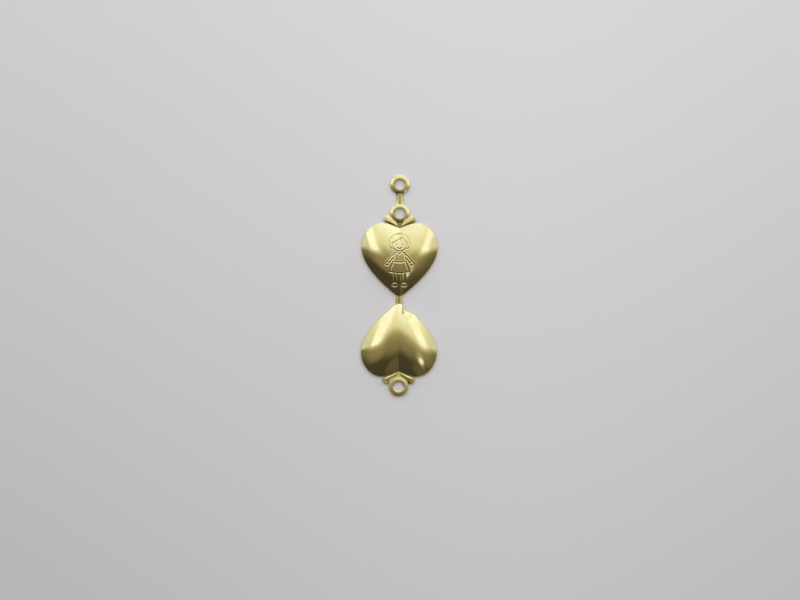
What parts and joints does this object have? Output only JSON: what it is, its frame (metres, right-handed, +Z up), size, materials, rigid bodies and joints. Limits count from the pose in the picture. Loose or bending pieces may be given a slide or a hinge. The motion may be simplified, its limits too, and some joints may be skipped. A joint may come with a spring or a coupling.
{
  "type": "fold-over heart charm",
  "caption": "Stamped brass fold-over heart charm, lying open: domed heart shells joined tip to tip by a bridge, eyelets to hang it, and a closing ring on a folding stem.",
  "frame": {"origin": "centre of the front eyelet's bore, on the plane that the open charm lies on", "axes": "+X across the hearts, +Y along the charm from the rear heart towards the closing ring, +Z up, out of the domes"},
  "size_m": [0.015, 0.0436, 0.0023],
  "materials": {
    "brass": "raw yellow brass, bright from the die, with fine handling scratches"
  },
  "bodies": {
    "front_half": {"front_shell": "brass", "front_eyelet": "brass", "front_web": "brass", "front_left_leaf": "brass", "front_right_leaf": "brass", "front_bridge": "brass", "lower_stem": "brass"},
    "rear_half": {"rear_shell": "brass", "rear_eyelet": "brass", "rear_web": "brass", "rear_left_leaf": "brass", "rear_right_leaf": "brass", "rear_bridge": "brass"},
    "closing_tab": {"closing_ring": "brass", "upper_stem": "brass"}
  },
  "joints": [
    {"name": "bridge_fold", "type": "hinge", "parent": "front_half", "child": "rear_half", "pos_m": [0, -0.01707, -0.00005], "axis": [1, 0, 0], "range_deg": [0, 180]},
    {"name": "stem_fold", "type": "hinge", "parent": "front_half", "child": "closing_tab", "pos_m": [0, 0.00284, -0.00038], "axis": [-1, 0, 0], "range_deg": [0, 180]}
  ]
}
